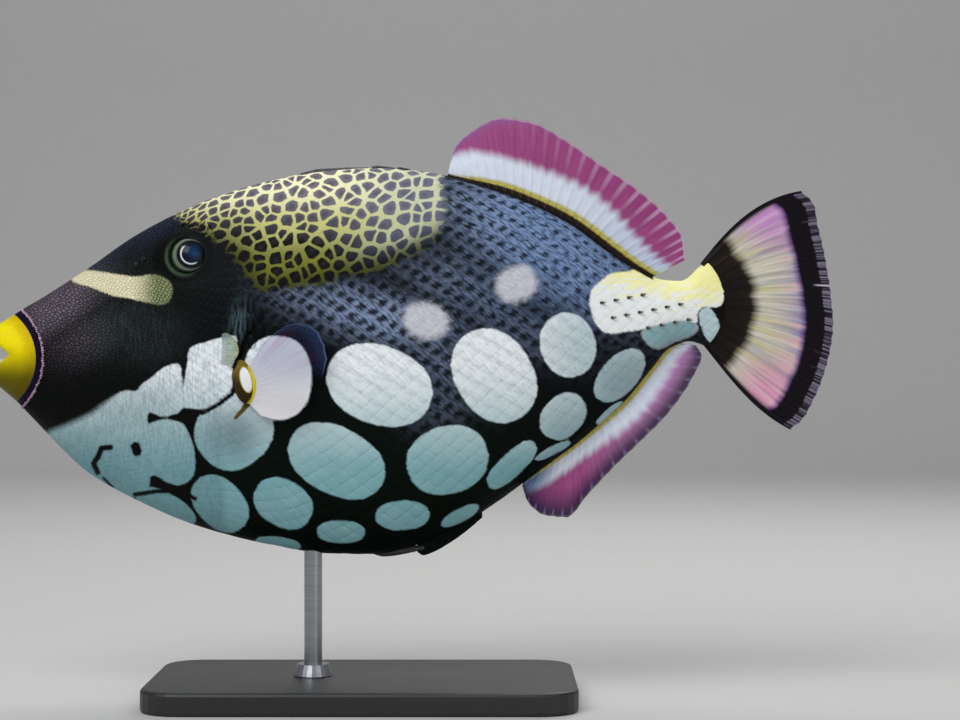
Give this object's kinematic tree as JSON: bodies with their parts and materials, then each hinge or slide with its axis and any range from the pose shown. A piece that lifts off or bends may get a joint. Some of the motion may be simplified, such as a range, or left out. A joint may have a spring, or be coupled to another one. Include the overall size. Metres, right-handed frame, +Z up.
{
  "type": "clown triggerfish",
  "caption": "Deep oval reef fish with a blunt snout and fanned fins, shown life size and still, held over a flat base by one short rod.",
  "frame": {"origin": "on the surface that the base stands on, under the middle of the fish's length and of the base's width", "axes": "+X towards the tail, so the fish swims towards -X; +Y towards its right side; +Z up"},
  "size_m": [0.3015, 0.088, 0.2069],
  "materials": {
    "skin": "satin skin of overlapping scales, dark with white spots",
    "lip": "smooth moist yellow lips",
    "eye": "wet clear eye, dark pupil in a pale green ring",
    "fin": "thin ribbed membrane, white with a magenta margin",
    "spine": "rough dark spine",
    "stand_base": "satin black",
    "stand_rod": "brushed"
  },
  "bodies": {
    "root": {"head": "skin", "trunk": "skin", "tail_stalk": "skin", "upper_lip": "lip", "lower_lip": "lip", "eye_left": "eye", "eye_right": "eye", "dorsal_spine_1": "spine", "dorsal_spine_2": "spine", "dorsal_spine_3": "spine", "soft_dorsal_fin": "fin", "anal_fin": "fin", "tail_fin": "fin", "breast_fin_left": "fin", "breast_fin_right": "fin", "pelvic_spine": "spine", "pelvic_flap": "skin", "stand_base": "stand_base", "stand_rod": "stand_rod"}
  },
  "joints": []
}
